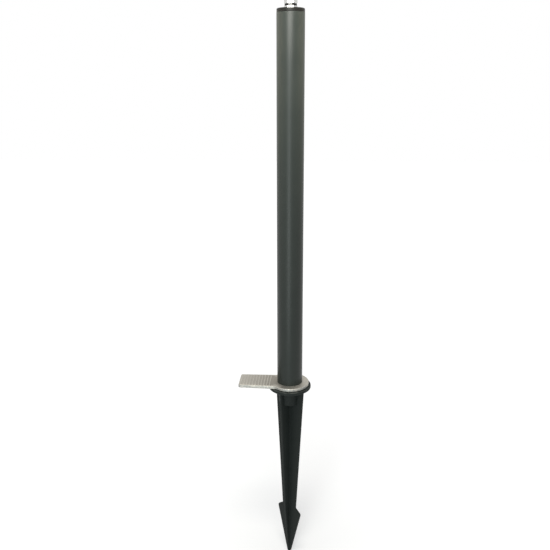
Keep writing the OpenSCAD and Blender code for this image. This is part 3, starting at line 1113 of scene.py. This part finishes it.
def maths(tree, operation, *values):
    """Result of one Math node; each value is a number or a socket."""
    return add(tree, "ShaderNodeMath", dict(enumerate(values)), operation=operation).outputs[0]


def seen_directly(tree):
    """1 for rays from the camera, reflections and refractions, 0 for light that falls on things."""
    path = add(tree, "ShaderNodeLightPath").outputs
    seen = maths(tree, "MAXIMUM", path["Is Camera Ray"], path["Is Glossy Ray"])
    return maths(tree, "MAXIMUM", seen, path["Is Transmission Ray"])


def floor_glow(tree):
    """Own light: FLOOR_GLOW - GLOW_DIP * e^(-distance from the spike's tip / GLOW_REACH)."""
    place = add(tree, "ShaderNodeTexCoord").outputs["Object"]
    inputs = {0: place, 1: (0, 0, ground)}
    away = add(tree, "ShaderNodeVectorMath", inputs, operation="DISTANCE").outputs["Value"]
    near = maths(tree, "EXPONENT", maths(tree, "MULTIPLY", away, -1 / GLOW_REACH))
    return maths(tree, "MULTIPLY_ADD", near, -GLOW_DIP, FLOOR_GLOW)


floor_values = {"Base Color": (FLOOR_TONE, FLOOR_TONE, FLOOR_TONE, 1), "Roughness": FLOOR_ROUGHNESS}
floor_values |= {"Specular IOR Level": 0, "Emission Color": WHITE}
floor_paint, tree, shader = new_finish("pale_floor", floor_values)
glow = maths(tree, "MULTIPLY", seen_directly(tree), floor_glow(tree))
tree.links.new(glow, shader.inputs["Emission Strength"])
floor_mesh.materials.append(floor_paint)
print("floor paint:", len(tree.nodes), "nodes")

# %% [markdown]
# ## Light
# The white room gives an even, low light, and soft lamps do the rest. A tall cool strip in front draws the
# long highlight down the tube, and a warm lamp near the top brightens the cap and the upper tube. Two warm
# lamps beside the top lift the tube's sides without a highlight of their own, and a weak one on the left
# fills the plate and the spike.

# %% World and lamps
AMBIENT = 0.28
COOL = (0.93, 1.0, 0.99)
WARM = (1.0, 0.97, 0.90)
AMBER = (1.0, 0.86, 0.66)
NEUTRAL = (1, 1, 1)
world = bpy.data.worlds.new("white_room")
bpy.context.scene.world = world
world.use_nodes = True
tree = world.node_tree
tree.nodes.clear()
level = add(tree, "ShaderNodeMapRange", {"Value": seen_directly(tree), "To Min": AMBIENT, "To Max": 1.0})
sky = add(tree, "ShaderNodeBackground", {"Color": WHITE, "Strength": level.outputs[0]})
add(tree, "ShaderNodeOutputWorld", {"Surface": sky.outputs[0]})


def soft_lamp(name, place, aim, size, power, colour, gloss=True):
    """Rectangular area lamp at a place, turned towards a point; without gloss it makes no highlights."""
    data = bpy.data.lights.new(name, "AREA")
    data.shape = "RECTANGLE"
    data.size, data.size_y = size
    data.energy = power
    data.color = colour
    lamp = bpy.data.objects.new(name, data)
    lamp.location = place
    lamp.visible_camera = False
    lamp.visible_glossy = gloss
    lamp.rotation_euler = (Vector(aim) - Vector(place)).to_track_quat("-Z", "Y").to_euler()
    bpy.context.scene.collection.objects.link(lamp)
    print(f"{name} lamp: {power} W")


soft_lamp("strip", (-0.12, -0.88, 0.28), aim=(0, 0, 0.28), size=(0.30, 1.16), power=5.7, colour=COOL)
soft_lamp("top", (-0.012, -0.32, 0.77), aim=(0, 0, 0.63), size=(0.26, 0.32), power=4.4, colour=WARM)
for name, x in (("top_left", -0.40), ("top_right", 0.40)):
    place = (x, 0.06, 0.66)
    soft_lamp(name, place, aim=(0, 0, 0.88), size=(0.40, 0.30), power=6.6, colour=AMBER, gloss=False)
soft_lamp("side", (-1.3, -0.7, 0.3), aim=(0, 0, 0), size=(0.8, 0.8), power=0.8, colour=NEUTRAL)

# %% [markdown]
# ## Camera
# The camera stands in front of the post and looks a little down at it, with the tab on the left. Its
# distance, height and tilt were worked out from the tube's widths and the ellipses of cap, plate and
# flange in the photo. The focal length, the middle row and the axis's column are in the photo's pixels.

# %% Camera
SENSOR_WIDTH = 36
IMAGE_SIDE = 550
FOCAL_PX = 655.5
CENTRE_ROW = 262
AXIS_COLUMN = 290.64
DISTANCE = 1.0155
HEIGHT = 0.4885 + tube_low.z
AZIMUTH = math.radians(3)
TILT = math.radians(15.42)
ROLL = math.radians(-0.21)
camera_data = bpy.data.cameras.new("camera")
camera_data.sensor_width = SENSOR_WIDTH
camera_data.lens = SENSOR_WIDTH * FOCAL_PX / IMAGE_SIDE
camera_data.shift_y = (CENTRE_ROW - IMAGE_SIDE / 2) / IMAGE_SIDE
camera = bpy.data.objects.new("camera", camera_data)
camera.location = (DISTANCE * math.sin(AZIMUTH), -DISTANCE * math.cos(AZIMUTH), HEIGHT)
pan = AZIMUTH + math.atan((AXIS_COLUMN - IMAGE_SIDE / 2) / FOCAL_PX)
facing = Euler((TURN / 4 - TILT, 0, pan)).to_matrix() @ Matrix.Rotation(ROLL, 3, "Z")
camera.rotation_euler = facing.to_euler()
bpy.context.scene.collection.objects.link(camera)
bpy.context.scene.camera = camera
bpy.context.scene.view_settings.view_transform = "Standard"
print(f"camera: {camera_data.lens:.1f} mm lens, {DISTANCE:.3f} m from the post's axis")
